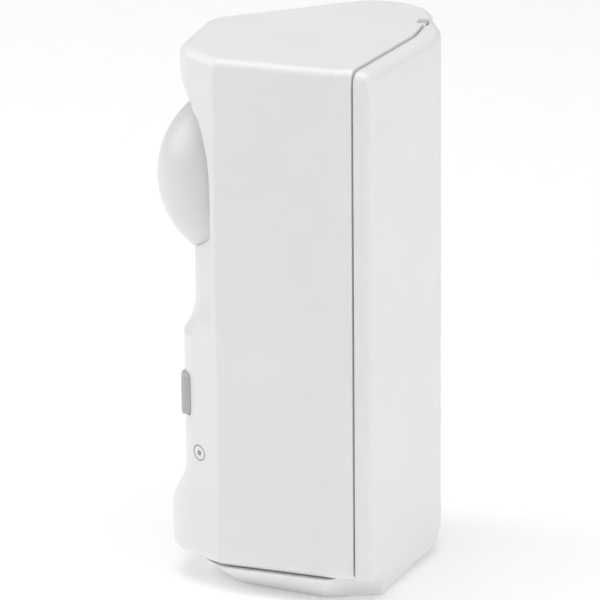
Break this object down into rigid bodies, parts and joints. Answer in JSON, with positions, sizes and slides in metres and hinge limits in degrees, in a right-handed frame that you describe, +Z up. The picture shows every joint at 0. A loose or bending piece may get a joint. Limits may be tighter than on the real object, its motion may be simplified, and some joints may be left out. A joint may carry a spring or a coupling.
{
  "type": "motion sensor",
  "caption": "Small indoor wall or shelf motion sensor in white plastic, with a domed lens on its nose, a grey button, a snap-off rear shell and a bay for AA cells.",
  "frame": {"origin": "centre of the base's outline, on the surface it stands on", "axes": "+Z up, +Y out of the flat rear face into the wall, +X to the right of someone facing the lens"},
  "size_m": [0.0656, 0.0584, 0.13],
  "materials": {
    "housing_white": "fine matte",
    "lens_white": "translucent satin",
    "button_grey": "satin",
    "chassis_white": "satin",
    "board_green": "solder resist",
    "chip_black": "satin",
    "can_metal": "satin",
    "window_dark": "polished",
    "spring_steel": "satin",
    "screw_steel": "satin",
    "cell_sleeve": "satin",
    "led_clear": "clear",
    "switch_black": "satin",
    "solder_gold": "satin"
  },
  "bodies": {
    "housing": {"front_cover": "housing_white", "base_foot": "housing_white", "lens_dome": "lens_white", "lens_retainer": "chassis_white", "latch_spring": "spring_steel", "chassis": "chassis_white", "main_board": "board_green", "pir_spacer": "switch_black", "pir_can": "can_metal", "pir_window": "window_dark", "pir_leads": "can_metal", "radio_module": "board_green", "radio_shield": "can_metal", "antenna": "solder_gold", "controller_chip": "chip_black", "chip_parts": "chip_black", "status_led": "led_clear", "light_sensor": "chip_black", "tact_switch": "switch_black", "tamper_switch": "switch_black", "cell_near": "cell_sleeve", "cell_far": "cell_sleeve", "contact_spring_near": "spring_steel", "contact_spring_far": "spring_steel", "contact_plates": "spring_steel", "contact_bridge": "spring_steel", "board_screws": "screw_steel", "chassis_screws": "screw_steel", "foot_screws": "screw_steel"},
    "rear_shell": {"rear_shell": "housing_white"},
    "button": {"system_button": "button_grey"},
    "switch_plunger": {"tact_plunger": "switch_black"},
    "latch": {"release_latch": "housing_white"},
    "tamper": {"tamper_plunger": "button_grey"}
  },
  "joints": [
    {"name": "shell_pull", "type": "slide", "parent": "housing", "child": "rear_shell", "axis": [0, 1, 0], "range_m": [0, 0.03]},
    {"name": "button_press", "type": "slide", "parent": "housing", "child": "button", "axis": [-0.4289, 0.9033, 0], "range_m": [0, 0.0005], "stiffness_N_per_m": 1200, "springref_m": -0.0004},
    {"name": "switch_press", "type": "slide", "parent": "housing", "child": "switch_plunger", "axis": [-0.4289, 0.9033, 0], "range_m": [0, 0.0006]},
    {"name": "latch_press", "type": "slide", "parent": "housing", "child": "latch", "axis": [0, 0, -1], "range_m": [0, 0.001], "stiffness_N_per_m": 400, "springref_m": -0.001, "deforming": ["latch_spring"]},
    {"name": "tamper_press", "type": "slide", "parent": "housing", "child": "tamper", "axis": [0, -1, 0], "range_m": [0, 0.0008], "stiffness_N_per_m": 300, "springref_m": -0.0005}
  ],
  "couplings": [
    {"joint": "switch_press", "follows": "button_press", "ratio": 1}
  ]
}
